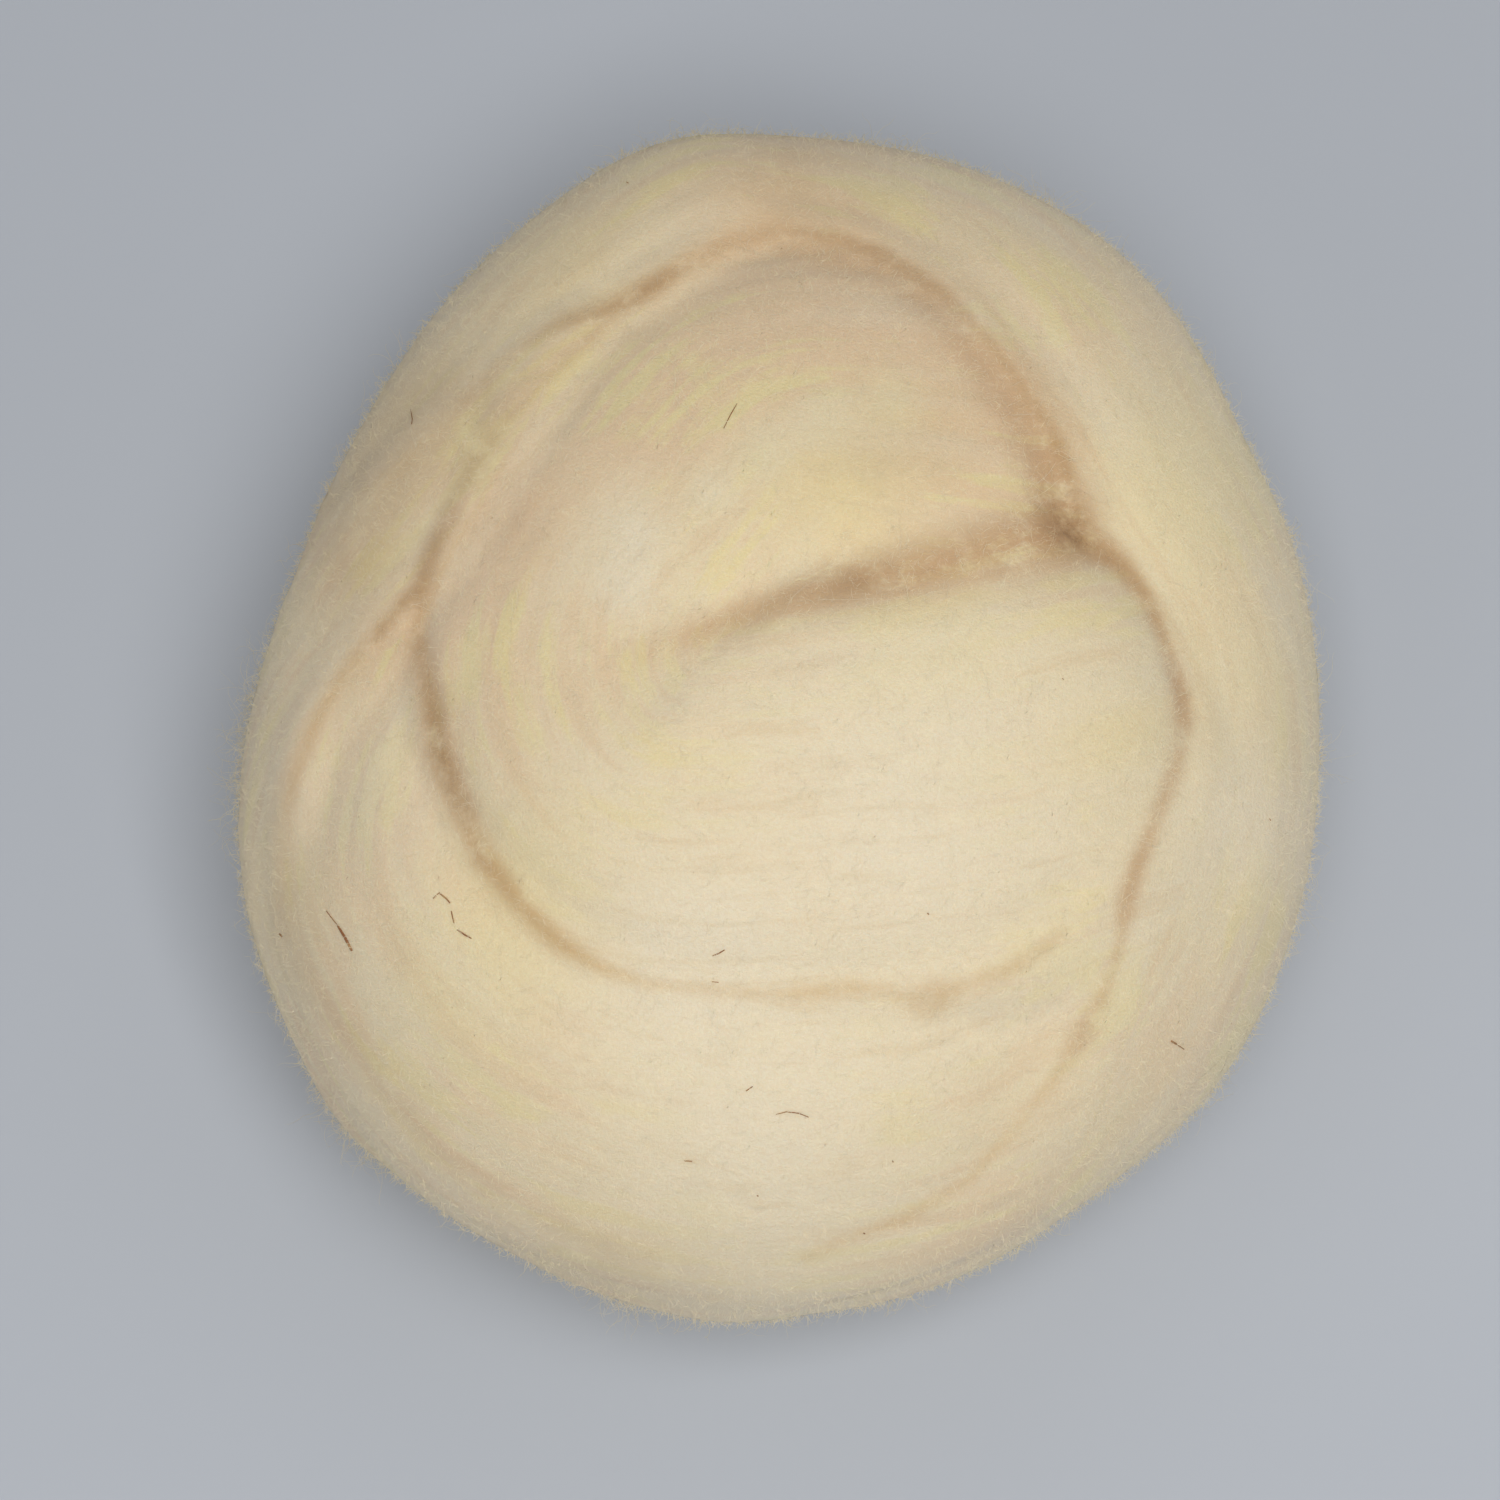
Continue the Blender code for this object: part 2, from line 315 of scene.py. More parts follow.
# right, up, reach, rise: swellings at the outline; a negative rise draws it in
swellings = [
    (68, -52, 20, 2.4), (-66, -60, 12, 2), (-14, 90, 16, 1.2), (69, 49, 20, -1), (-37, -78, 17, -5),
    (-20, -86, 16, -3.4), (-71, 28, 12, 2),
]

# where the strands have felted together and a crease is partly closed, each a line of
# right, up, reach, fill, rounds
closings = [
    [(-74, -15, 9, 20, 40), (-73, -22, 10, 26, 50), (-69, -37, 12, 40, 90), (-60, -54, 12, 40, 90),
     (-45, -68, 12, 40, 90), (-27, -78, 12, 40, 90), (-8, -82, 12, 40, 90), (6, -80, 10, 30, 70),
     (16, -75, 9, 20, 40), (27, -70, 9, 18, 36), (37, -60, 9, 18, 36), (43, -51, 9, 18, 36),
     (48, -40, 9, 20, 44)],
    [(-23, 66, 5, 8, 10), (-33, 62, 6, 9, 12), (-44, 51, 6, 9, 14), (-50, 47, 7, 9, 20),
     (-56, 42.5, 8, 9, 26), (-62, 38, 8, 9, 28), (-69, 31, 8, 9, 28)],
    [(-23, 65, 6, 9, 10), (-31, 60, 6, 12, 16), (-36, 52, 7, 13, 22), (-42, 43, 7, 12, 20),
     (-48, 34, 6, 10, 12), (-54, 24, 5, 9, 8)],
    [(-55.5, 21, 5, 9, 8), (-56, 12, 5, 9, 6), (-54, 1, 5, 10, 8), (-48, -15, 5, 11, 10),
     (-39, -25, 6, 12, 10), (-29, -33, 6, 13, 12), (-18, -38, 7, 14, 14), (-5, -39, 7, 14, 14),
     (10, -39, 7, 14, 14), (22, -39, 8, 18, 24), (34, -37, 9, 30, 50), (42, -35, 10, 40, 80),
     (48, -31, 10, 40, 80)],
    [(-55, 24, 5, 9, 8), (-60, 18, 5, 9, 8), (-64, 12.5, 5, 9, 10), (-68, 7, 6, 10, 14),
     (-71, 1, 7, 12, 20), (-73.5, -7, 8, 16, 34), (-75, -14, 9, 20, 44)],
    [(-17, 14, 9, 0, 40), (-10, 15, 7, 6, 24), (-3, 18, 6, 11, 16), (14, 23, 6, 11, 12),
     (34, 29, 6, 11, 12), (43, 31, 9, 17, 26)],
    [(-21, 65, 7, 12, 18), (-12, 71, 9, 15, 26), (0, 74, 9, 15, 26), (12, 72, 8, 14, 20),
     (22, 66, 7, 12, 14), (33, 54, 6, 11, 10), (42, 41, 6, 10, 10)],
    [(54, 20, 6, 9, 6), (60, 8, 6, 10, 8), (60, -5, 7, 13, 18), (55, -18, 10, 24, 50),
     (52, -27, 12, 40, 90)],
    [(66, -8, 6, 16, 40), (63, -20, 9, 24, 70), (58, -32, 13, 40, 110), (52, -42, 14, 40, 110),
     (44, -52, 12, 34, 80), (36, -62, 10, 24, 50)],
]

# right, up, reach, pink, yellow, pale: broad patches, partly the wool's own colour and partly painted shade
# and light: pinker over much of the upper part and the left, where the ball lies in more shade, and paler low
# down, where the light falls strongest
patches = [
    (0, 62, 22, 0.9, 0, 0), (22, 47, 16, 0.8, 0, 0), (-20, 47, 12, 0.9, 0, 0), (-42, 36, 12, 1, 0, 0),
    (-46, 18, 10, 0.9, 0, 0), (-38, 5, 9, 0.7, 0, 0), (-66, -10, 12, 0.45, 0, 0.4),
    (-58, 12, 9, 0.8, 0, 0), (-60, 50, 14, 0.3, 0.3, 0), (8, 36, 12, 0.2, 0.7, 0),
    (20, 41, 13, 1, 0.2, 0), (-22, 30, 5, 0, 0.2, 0.8), (-24, 22, 5, 0, 0, 0.9),
    (16, 49.5, 4.5, 0, 0.55, 0.2), (6, 47, 4.5, 0, 0.6, 0.3), (-3, 42, 4.5, 0, 0.6, 0.4),
    (-11, 36, 4, 0, 0.5, 0.6), (5, 0, 22, 0, 0.2, 0.4), (20, -20, 25, 0, 0.1, 0.8),
    (-15, -32, 14, 0, 0.2, 0.9), (-5, -62, 24, 0, 0, 0.9), (-45, -38, 12, 0, 0.8, 0.2),
    (-38, -20, 9, 0.2, 0.7, 0), (62, 38, 14, 0, 0.8, 0.2), (70, 10, 14, 0, 0.6, 0.3),
    (68, -15, 12, 0.1, 0.2, 0.7), (50, -60, 14, 0.3, 0.3, 0.2), (40, 62, 12, 0.6, 0.1, 0),
    (30, 8, 14, 0.1, 0.4, 0.3), (50, -2, 9, 0.2, 0.6, 0), (-75, -25, 8, 0.4, 0.3, 0),
    (77, 22, 8, 0.5, 0, 0.2), (79, -12, 8, 0.5, 0, 0.2), (68, -45, 9, 0.5, 0, 0.2),
    (62, 62, 9, 0.4, 0, 0.1), (4, 85, 15, 0.8, 0.2, 0), (-30, 70, 14, 0.3, 0.4, 0),
]

# painted shade along the creases, in the hole and over a few broad places that lie in shade, warm as shade in
# wool is: each is a line of right, up, reach, brown, ochre, rosy
paintedShadeLines = [
    [(-24, 10.5, 2.5, 0, 0, 0.15), (-14, 14.5, 2.6, 0, 0.1, 0.4), (-8, 17, 2.4, 0.12, 0.1, 0.5),
     (0, 19.5, 2.8, 0.1, 0, 0.65), (6, 21, 3.2, 0.17, 0, 0.7), (11, 22.5, 3.4, 0.28, 0, 0.8),
     (18, 23.6, 4, 0.12, 0, 0.78), (28, 26.4, 4.8, 0.06, 0, 0.76), (35, 28.6, 5.8, 0.08, 0, 0.8),
     (40, 30, 6, 0.15, 0, 0.85)],
    # the first spots fill the hole with painted shadow, near black where the brown is strongest
    [(41.6, 35.5, 3.4, 0.6, 0, 0.6), (42, 32.3, 4.6, 0.82, 0, 0.6), (43.2, 30, 4.4, 0.9, 0, 0.6),
     (45, 28.4, 3.2, 0.75, 0, 0.6), (48, 27, 2.6, 0.6, 0, 0.6), (50.5, 25.3, 1.8, 0.6, 0.1, 0.5),
     (54.5, 20, 1.3, 0.45, 0.1, 0.5), (57.5, 13, 1.2, 0.2, 0.1, 0.6), (59.5, 6, 1.5, 0.2, 0, 0.8),
     (60, 1, 1.4, 0.1, 0, 0.7), (58.5, -6, 1.3, 0.1, 0.1, 0.5), (55.5, -14, 1.3, 0.05, 0.1, 0.5),
     (53, -20, 1.5, 0.15, 0.1, 0.6), (51.5, -25, 1.7, 0.15, 0.1, 0.6), (50.5, -31, 1, 0.05, 0.2, 0.3),
     (48.5, -38, 0.9, 0.05, 0.3, 0.2), (45, -45, 2.1, 0.25, 0.2, 0.4), (42, -50, 1.1, 0.05, 0.35, 0.1),
     (36, -58, 1, 0, 0.35, 0), (28, -67, 1, 0, 0.35, 0), (18, -73, 1.1, 0.05, 0.45, 0),
     (12, -75, 1, 0, 0.4, 0), (3, -79, 1, 0, 0.3, 0)],
    [(40.5, 37, 4.8, 0.24, 0, 0.74), (38.5, 43, 5, 0.19, 0, 0.7), (34.5, 50, 4.6, 0.13, 0, 0.58),
     (29, 57, 3.6, 0.1, 0, 0.44), (23, 64, 3, 0.12, 0, 0.5), (14, 70, 2.8, 0.14, 0, 0.4),
     (0, 73.5, 3, 0.1, 0, 0.3)],
    [(43, 38, 1.4, 0.5, 0.1, 0.3), (40.5, 44.5, 1.2, 0.5, 0.1, 0.3), (36.5, 51, 1, 0.3, 0.2, 0.2),
     (31, 58.5, 0.9, 0.25, 0.2, 0.2), (24, 66, 1.2, 0.4, 0.1, 0.3), (16, 71, 1.6, 0.55, 0.05, 0.3),
     (9, 74, 1.6, 0.42, 0.05, 0.3), (0, 75.5, 1.8, 0.22, 0.1, 0.35), (-8, 73.5, 1.8, 0.28, 0.1, 0.3),
     (-15, 70, 1.6, 0.42, 0.1, 0.25), (-20, 66.5, 1.8, 0.65, 0, 0.25), (-26, 63.5, 1.6, 0.5, 0, 0.2),
     (-33, 61.5, 1.4, 0.35, 0.1, 0.15), (-39, 58, 1.4, 0.15, 0.1, 0.1), (-46, 51, 2, 0.35, 0.1, 0),
     (-50, 47, 3, 0.16, 0.1, 0), (-56, 42.6, 3.2, 0.16, 0.1, 0), (-62, 38, 3.2, 0.13, 0.1, 0),
     (-67, 34, 3, 0.1, 0.1, 0)],
    # broad painted shade over the upper left, the top rim, the bottom rim and two places in the upper middle
    [(-52, 49, 8, 0.17, 0.05, 0.1), (-62, 36, 9, 0.2, 0.05, 0.12), (-66, 26, 8, 0.2, 0.05, 0.12)],
    [(-14, 84, 8, 0.1, 0, 0), (0, 83, 9, 0.2, 0, 0), (14, 80, 8, 0.1, 0, 0)],
    [(-40, -78, 8, 0.12, 0, 0), (-27, -81, 8, 0.17, 0, 0), (-14, -85, 8, 0.1, 0, 0)],
    [(6, 42, 7, 0.08, 0, 0), (14, 42, 8, 0.14, 0, 0), (24, 42, 8, 0.16, 0, 0)],
    [(-46, 38, 6, 0.12, 0, 0), (-41, 32, 7, 0.14, 0, 0), (-38, 24, 6, 0.08, 0, 0)],
    [(-24, 64, 1.6, 0.3, 0, 0.1), (-29, 61, 2.6, 0.22, 0, 0.1), (-36, 54.5, 3, 0.22, 0, 0.1),
     (-42, 47.5, 3, 0.22, 0, 0.1), (-47, 40, 2.8, 0.22, 0, 0.1), (-51, 32, 2.4, 0.2, 0, 0.1)],
    [(-28, 60.5, 1.5, 0.3, 0, 0.1), (-33.5, 55, 1.5, 0.24, 0, 0.1), (-42, 46.5, 1.5, 0.3, 0, 0.1),
     (-47.5, 38.5, 1.6, 0.36, 0, 0.1), (-51, 31, 1.7, 0.45, 0, 0.1), (-54.3, 21, 1.6, 0.6, 0.1, 0.1)],
    [(-54.6, 20, 1.5, 0.55, 0.1, 0.1), (-55, 15, 1.6, 0.4, 0.1, 0.2), (-54, 10, 2, 0.45, 0.1, 0.2),
     (-52.5, 3, 2.2, 0.65, 0.1, 0.2), (-51.3, -4, 2.2, 0.75, 0.1, 0.2), (-48, -12, 2, 0.55, 0.1, 0.3),
     (-45, -19, 1.9, 0.4, 0.3, 0.4), (-39.5, -26, 1.6, 0.25, 0.5, 0.3),
     (-34, -31.5, 1.4, 0.2, 0.55, 0.2), (-27.5, -35.5, 1.2, 0.05, 0.55, 0), (-20, -38, 1, 0, 0.35, 0),
     (-10, -39, 1.1, 0, 0.25, 0), (0, -39.3, 1.3, 0.05, 0.4, 0), (10, -38.5, 1.5, 0.1, 0.45, 0),
     (16, -39, 1.4, 0.1, 0.4, 0), (21.5, -40, 2.7, 0.3, 0.4, 0), (27, -38, 1.4, 0.08, 0.35, 0),
     (33, -36, 1.6, 0.2, 0.3, 0), (38, -33, 1.5, 0.2, 0.25, 0), (42, -30, 1.1, 0.05, 0.2, 0)],
    [(-45, 42.6, 1.6, 0.12, 0.1, 0), (-48.3, 35.7, 1.8, 0.3, 0, 0.1), (-52, 28.2, 1.9, 0.55, 0, 0.1),
     (-55, 21.3, 1.6, 0.6, 0.1, 0.1), (-60.8, 14.8, 1.4, 0.5, 0.2, 0.1), (-66, 9.2, 1.3, 0.2, 0.3, 0.1),
     (-70, 1.5, 1.3, 0.08, 0.3, 0.2), (-73.5, -7, 1.3, 0, 0.3, 0.2), (-75.2, -13.4, 1.4, 0, 0.15, 0.1),
     (-74.8, -24, 1.8, 0.06, 0.1, 0.12), (-74.2, -31, 2, 0.1, 0.08, 0.12),
     (-70.5, -39, 2.2, 0.08, 0.1, 0.1), (-66, -44, 2.4, 0.08, 0.1, 0.1),
     (-59.5, -53.3, 2.4, 0.08, 0.1, 0.1), (-52.7, -62.6, 2.2, 0.08, 0.1, 0.1),
     (-45.8, -68.3, 2.2, 0.08, 0.1, 0.1), (-35.4, -73, 2.2, 0.06, 0.08, 0.08),
     (-20, -79, 2.2, 0.04, 0.06, 0.06)],
]


shadePainting = {
    "step": 0.7,  # between the spots of a line of painted shade
    "slope": 4,  # how fast the places' colours fade where the ball turns under
    "rim": 0.4,  # what is left of them at its rim
    # painted warm shade in every crease: ochre and rosy
    "creaseOchre": 0.25,
    "creaseRosy": 0.2,
}


def dwellOn(seen, line):
    # how much painted shade each seen place gets from a line: brown, ochre and rosy
    best = np.zeros((len(seen), 3))
    for right, up, reach, *shares in alongLine(line, shadePainting["step"]):
        best = np.maximum(best, nearTo(seen, right, up, reach)[:, None] * shares)
    return best


def colourPlaces(places, normals, crease):
    # patches are pink, yellow and pale, partly painted shade and light; the painted shade in creases and
    # hollows is brown, ochre and rosy
    seen = seenAt(places)
    facing = np.clip((normals @ viewBack) * shadePainting["slope"] + shadePainting["rim"], 0, 1)
    tint = np.zeros((len(places), 3))
    for right, up, reach, pink, yellow, pale in patches:
        tint += nearTo(seen, right, up, reach)[:, None] * (pink, yellow, pale)
    paintedShade = np.max([dwellOn(seen, line) for line in paintedShadeLines], axis=0)
    paintedShade *= facing[:, None]
    # painted shade in every crease, strongest at its bottom
    paintedShade[:, 1] = np.maximum(paintedShade[:, 1], shadePainting["creaseOchre"] * crease)
    paintedShade[:, 2] = np.maximum(paintedShade[:, 2], shadePainting["creaseRosy"] * crease)
    return np.clip(tint, 0, 1) * facing[:, None], paintedShade


def setAttribute(mesh, name, values):
    # one value or vector for each of the mesh's points
    kind, field = ("FLOAT_VECTOR", "vector") if values.ndim > 1 else ("FLOAT", "value")
    mesh.attributes.new(name, kind, "POINT").data.foreach_set(field, values.astype(np.float32).ravel())


def soften(bm, verts):
    bmesh.ops.smooth_vert(bm, verts=verts, factor=skin["smoothFactor"], use_axis_x=True, use_axis_y=True,
                          use_axis_z=True)


def makeSkin():
    # a cube's faces, finely cut, spread over the core and lifted to the strands' tops
    bm = bmesh.new()
    bmesh.ops.create_cube(bm, size=2)
    bmesh.ops.subdivide_edges(bm, edges=bm.edges, cuts=skin["cuts"], use_grid_fill=True)
    cube = np.array([v.co for v in bm.verts])
    feet = unit(np.tan(cube * math.pi / 4)) * coreRadii
    height, clear, where, flow = feel(feet)
    gap = np.linalg.norm(feet - seenPoint(*skin["pivot"]), axis=1) / skin["pivotReach"]
    height = np.maximum(height, skin["pivotHeight"] - skin["pivotFall"] * gap**2)
    height, rounds = closeCreases(feet, height, clear)
    crease = np.exp(-np.maximum(clear, 0) / skin["grooveReach"] - rounds / skin["closingFade"])
    places = atRest(feet + squareOut(feet, coreRadii) * (height - skin["groove"] * crease)[:, None])
    for v, p in zip(bm.verts, places):
        v.co = p
    for _ in range(skin["smoothing"]):
        soften(bm, bm.verts)
    points = list(bm.verts)
    for done in range(int(rounds.max())):
        soften(bm, [points[k] for k in np.flatnonzero(rounds > done)])
    bm.normal_update()
    normals = np.array([v.normal for v in bm.verts])
    places = np.array([v.co for v in bm.verts])
    seen = seenAt(places)
    ridges = streaks(where[:, 0], where[:, 1] + skin["strandsApart"] * where[:, 2])
    lift = skin["streakHeight"] * ridges * (1 - crease)
    for right, up, reach, depth in hollows:
        lift -= depth * nearTo(seen, right, up, reach) * (normals @ viewBack > 0)
    for right, up, reach, rise in swellings:
        spot = np.array(middle) + viewRight * right + viewUp * up
        lift += rise * np.exp(-((places - spot) ** 2).sum(1) / reach**2)
    places += normals * lift[:, None]
    places[:, 2] = np.maximum(places[:, 2], skin["floorGap"])
    for v, p in zip(bm.verts, places * mm):
        v.co = p
    bmesh.ops.recalc_face_normals(bm, faces=bm.faces)
    mesh = bpy.data.meshes.new("woolSkin")
    bm.to_mesh(mesh)
    bm.free()
    mesh.shade_smooth()
    obj = bpy.data.objects.new("woolSkin", mesh)
    bpy.context.scene.collection.objects.link(obj)
    tint, paintedShade = colourPlaces(places, normals, crease)
    setAttribute(mesh, "flow", where)
    setAttribute(mesh, "tint", tint)
    setAttribute(mesh, "paintedShade", paintedShade)
    return obj, cube, feet, places, normals, flow, tint, paintedShade, crease


woolSkin, skinCube, skinFeet, skinPlaces, skinNormals, skinFlow, skinTint, skinPaintedShade, skinCrease = makeSkin()
print("skin made,", len(woolSkin.data.polygons), "faces")


def gridOfSkin():
    # for each side of the cube, the number of the skin's point at each row and column
    side = skin["cuts"] + 2
    at = ((skinCube + 1) / 2 * (side - 1)).round().astype(int)
    grid = np.zeros((6, side, side), int)
    for face in range(6):
        axis, end = face // 2, (face % 2) * (side - 1)
        on = np.where(at[:, axis] == end)[0]
        grid[face, at[on, (axis + 1) % 3], at[on, (axis + 2) % 3]] = on
    return grid


skinGrid = gridOfSkin()


def onSkin(feet, *tables):
    # each table's value over any feet, mixed from the skin's four nearest points
    way = feet / coreRadii
    axis = np.abs(way).argmax(1)
    each = np.arange(len(feet))
    lead = way[each, axis]
    side = skin["cuts"] + 1
    u = (np.arctan(way[each, (axis + 1) % 3] / np.abs(lead)) * 4 / math.pi + 1) / 2 * side
    v = (np.arctan(way[each, (axis + 2) % 3] / np.abs(lead)) * 4 / math.pi + 1) / 2 * side
    i, j = np.minimum(u.astype(int), side - 1), np.minimum(v.astype(int), side - 1)
    face = axis * 2 + (lead > 0)
    mixed = [0] * len(tables)
    for di, dj in ((0, 0), (1, 0), (0, 1), (1, 1)):
        share = np.abs(1 - di - u + i) * np.abs(1 - dj - v + j)
        point = skinGrid[face, i + di, j + dj]
        for k, table in enumerate(tables):
            mixed[k] = mixed[k] + (share[:, None] if table.ndim > 1 else share) * table[point]
    return mixed


fibre = {
    "sides": 3,
    "sideways": (0.31, 0.52, 0.79),  # no fibre runs this way
    "roundness": 0.35,  # how much of its own roundness a fibre shows in the light
}


def fibreFaces(ringed):
    # one fibre's triangles: a tip, rings of points, and the other tip
    sides = fibre["sides"]
    tip = sides * ringed + 1
    faces = []
    for k in range(sides):
        after = (k + 1) % sides
        faces.append((0, 1 + k, 1 + after))
        for ring in range(ringed - 1):
            low, high = 1 + sides * ring, 1 + sides * (ring + 1)
            faces.append((low + k, high + k, low + after))
            faces.append((low + after, high + k, high + after))
        faces.append((tip, tip - sides + after, tip - sides + k))
    return np.array(faces)


def makeFibres(name, feet, points, radius, shade, material, glow=0):
    # joined thin fibres: points is fibre by station by axis, the first and last stations are the tips
    count, stations = points.shape[:2]
    along = unit(np.gradient(points, axis=1)[:, 1:-1])
    side = unit(np.cross(along, fibre["sideways"]))
    up = np.cross(side, along)
    turns = np.arange(fibre["sides"]) * 2 * math.pi / fibre["sides"]
    rim = np.cos(turns)[:, None] * side[:, :, None] + np.sin(turns)[:, None] * up[:, :, None]
    rings = points[:, 1:-1, None] + rim * radius[:, 1:-1, None, None]
    verts = np.concatenate((points[:, :1], rings.reshape(count, -1, 3), points[:, -1:]), 1)
    each = verts.shape[1]
    faces = (fibreFaces(stations - 2)[None] + (np.arange(count) * each)[:, None, None]).reshape(-1, 3)
    mesh = bpy.data.meshes.new(name)
    mesh.vertices.add(count * each)
    mesh.vertices.foreach_set("co", (verts * mm).astype(np.float32).ravel())
    mesh.loops.add(faces.size)
    mesh.loops.foreach_set("vertex_index", faces.astype(np.int32).ravel())
    mesh.polygons.add(len(faces))
    mesh.polygons.foreach_set("loop_start", np.arange(0, faces.size, 3, dtype=np.int32))
    mesh.update(calc_edges=True)
    mesh.shade_smooth()
    # each fibre takes the skin's tint and painted shade from under its root
    tint, paintedShade, normal = onSkin(feet, skinTint, skinPaintedShade, skinNormals)
    ownWay = np.concatenate((along[:, :1] * 0, rim.reshape(count, -1, 3), along[:, :1] * 0), 1)
    # lit much as the skin is, and what stands up as if from above too, for wool lets light through
    lit = unit(unit(normal)[:, None] + fibre["roundness"] * ownWay + np.array((0, 0, glow)))
    mesh.normals_split_custom_set_from_vertices(lit.reshape(-1, 3))
    setAttribute(mesh, "tint", np.repeat(tint, each, 0))
    setAttribute(mesh, "paintedShade", np.repeat(paintedShade, each, 0))
    setAttribute(mesh, "shade", np.repeat(shade, each))
    obj = bpy.data.objects.new(name, mesh)
    bpy.context.scene.collection.objects.link(obj)
    mesh.materials.append(material)
    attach(obj, "root")
    print(name, "made,", len(faces), "faces")
    return obj


def feed(tree, socket, value):
    if isinstance(value, bpy.types.NodeSocket):
        tree.links.new(value, socket)
    else:
        socket.default_value = value


def mixColour(tree, share, a, b):
    node = tree.nodes.new("ShaderNodeMix")
    node.data_type = "RGBA"
    for socket, value in ((node.inputs[0], share), (node.inputs[6], a), (node.inputs[7], b)):
        feed(tree, socket, value)
    return node.outputs[2]


def ramp(tree, value, low, high):
    node = tree.nodes.new("ShaderNodeMapRange")
    node.interpolation_type = "SMOOTHSTEP"
    for socket, given in zip(node.inputs, (value, low, high)):
        feed(tree, socket, given)
    return node.outputs[0]


def noise(tree, vector, scale, detail=2, roughness=0.5):
    node = tree.nodes.new("ShaderNodeTexNoise")
    for name, value in (("Vector", vector), ("Scale", scale), ("Detail", detail), ("Roughness", roughness)):
        feed(tree, node.inputs[name], value)
    return node.outputs["Fac"]


def maths(tree, operation, a, b):
    node = tree.nodes.new("ShaderNodeMath")
    node.operation = operation
    feed(tree, node.inputs[0], a)
    feed(tree, node.inputs[1], b)
    return node.outputs[0]


def attribute(tree, name):
    # the three values of a piece's own attribute
    node = tree.nodes.new("ShaderNodeAttribute")
    node.attribute_name = name
    parts = tree.nodes.new("ShaderNodeSeparateXYZ")
    feed(tree, parts.inputs[0], node.outputs["Vector"])
    return parts.outputs


strandGap = 7.3  # in the noise, so that each strand has its own


def stretched(tree, flow, along, across):
    # a place on the strand with its length drawn in, so that noise on it makes streaks
    node = tree.nodes.new("ShaderNodeCombineXYZ")
    for socket, part, scale in zip(node.inputs, flow, (along, across, strandGap)):
        feed(tree, socket, maths(tree, "MULTIPLY", part, scale))
    return node.outputs[0]


wool = {
    "cream": (0.80, 0.685, 0.465, 1),
    "pink": (0.79, 0.60, 0.40, 1),
    "yellow": (0.80, 0.685, 0.385, 1),
    "pale": (0.82, 0.73, 0.55, 1),
    # painted shade in the creases and hollows: brown, ochre and rosy; the ochre also flecks the grain
    "brown": (0.36, 0.19, 0.075, 1),
    "ochre": (0.66, 0.44, 0.19, 1),
    "rosy": (0.57, 0.345, 0.185, 1),
    # painted shadow, near black, in the hole and the deepest creases
    "dark": (0.13, 0.07, 0.03, 1),
    "tip": (0.84, 0.75, 0.55, 1),
    "shade": (0.70, 0.57, 0.36, 1),
    # noise: how often a metre, or a millimetre along and across the strand
    "patchScale": 30,
    "otherScale": 51,
    "roughScale": 150,
    "grainScale": 2200,
    "lock": (0.03, 0.13),
    "hair": (0.2, 2),
    "strand": (0.05, 0.4),
    # where a noise starts to show, and where it shows in full
    "blushing": (0.47, 0.6),
    "sunny": (0, 0.1),
    "locking": (0.42, 0.68),
    "shading": (0.52, 0.7),
    "ragged": (0.15, 0.58),
    "softly": (0.46, 0.82),
    "darkening": (0.6, 1),
    "graining": (0.35, 0.65),
    # how strong each is
    "streakShare": 0.5,
    "blush": 0.7,
    "sun": 1,
    "locks": 0.35,
    "shaded": 0.3,
    "shadeStreaks": 0.6,
    "darkest": 0.5,
    "grain": 0.17,
    "tips": 0.55,
    "hairs": 0.15,
    "bump": 0.62,
    "bumpDepth": 0.0003,
    "roughness": 0.9,
    "specular": 0.15,
    "sheen": 0.25,  # of the skin alone
    "sheenRoughness": 0.5,
    "subsurface": 0.2,
    "subsurfaceRadius": (1, 0.72, 0.48),
    "subsurfaceReach": 0.003,
}


def shown(tree, value, when, share):
    return maths(tree, "MULTIPLY", ramp(tree, value, *wool[when]), wool[share])


